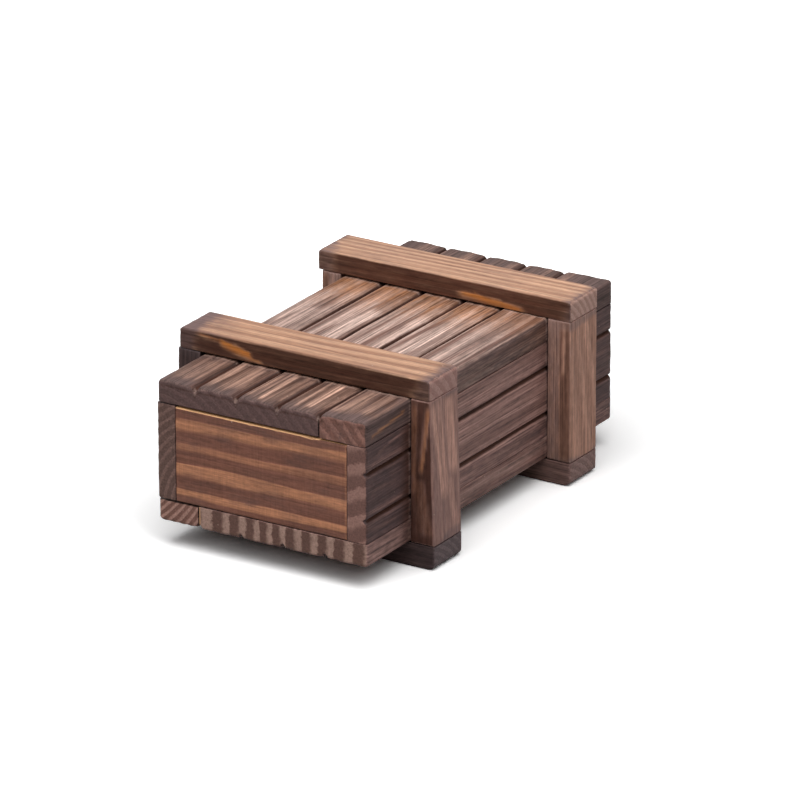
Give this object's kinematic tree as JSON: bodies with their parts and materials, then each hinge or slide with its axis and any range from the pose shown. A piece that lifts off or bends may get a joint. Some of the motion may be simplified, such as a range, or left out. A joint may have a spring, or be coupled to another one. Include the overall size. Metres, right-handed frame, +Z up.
{
  "type": "puzzle gift box",
  "caption": "Small flamed-pine puzzle crate with two batten bands, a sliding lid, a key strip that works a lock peg, and a drawer that slides out of one end.",
  "frame": {"origin": "on the floor plane, under the middle of the body (bottom centre of the bounding box)", "axes": "+Y along the body from the drawer's front to the fixed end, +Z up, +X to the right seen from the drawer's front"},
  "size_m": [0.06, 0.095, 0.04],
  "materials": {
    "flamed_plank": "pine, flamed and brushed, mauve-brown with paler streaks along the grain",
    "flamed_batten": "pine, flamed and brushed, tan streaks on the worn faces and near black in the corners",
    "flamed_panel": "pine, flamed, orange-brown bands across a dark brown ground",
    "raw_pine": "planed bare pine"
  },
  "bodies": {
    "case": {"left_wall": "flamed_plank", "right_wall": "flamed_plank", "floor_board": "flamed_plank", "top_strip": "flamed_plank", "back_panel": "flamed_panel", "lid_stop_dowel": "raw_pine", "near_top_batten": "flamed_batten", "near_left_upright": "flamed_batten", "near_right_upright": "flamed_batten", "near_foot": "flamed_batten", "far_top_batten": "flamed_batten", "far_left_upright": "flamed_batten", "far_right_upright": "flamed_batten", "far_foot": "flamed_batten"},
    "lid": {"sliding_lid": "flamed_plank"},
    "key": {"key_strip": "flamed_plank"},
    "peg": {"lock_peg": "raw_pine"},
    "drawer": {"drawer_front": "flamed_panel", "drawer_left_side": "raw_pine", "drawer_right_side": "raw_pine", "drawer_back": "raw_pine", "drawer_floor": "raw_pine"}
  },
  "joints": [
    {"name": "key_slide", "type": "slide", "parent": "case", "child": "key", "axis": [0, -1, 0], "range_m": [0, 0.006]},
    {"name": "peg_lift", "type": "slide", "parent": "case", "child": "peg", "axis": [0, 0, 1], "range_m": [0, 0.003]},
    {"name": "lid_slide", "type": "slide", "parent": "case", "child": "lid", "axis": [0, 1, 0], "range_m": [0, 0.025]},
    {"name": "drawer_slide", "type": "slide", "parent": "case", "child": "drawer", "axis": [0, -1, 0], "range_m": [0, 0.062]}
  ],
  "couplings": [
    {"joint": "peg_lift", "follows": "key_slide", "ratio": 0.5}
  ]
}
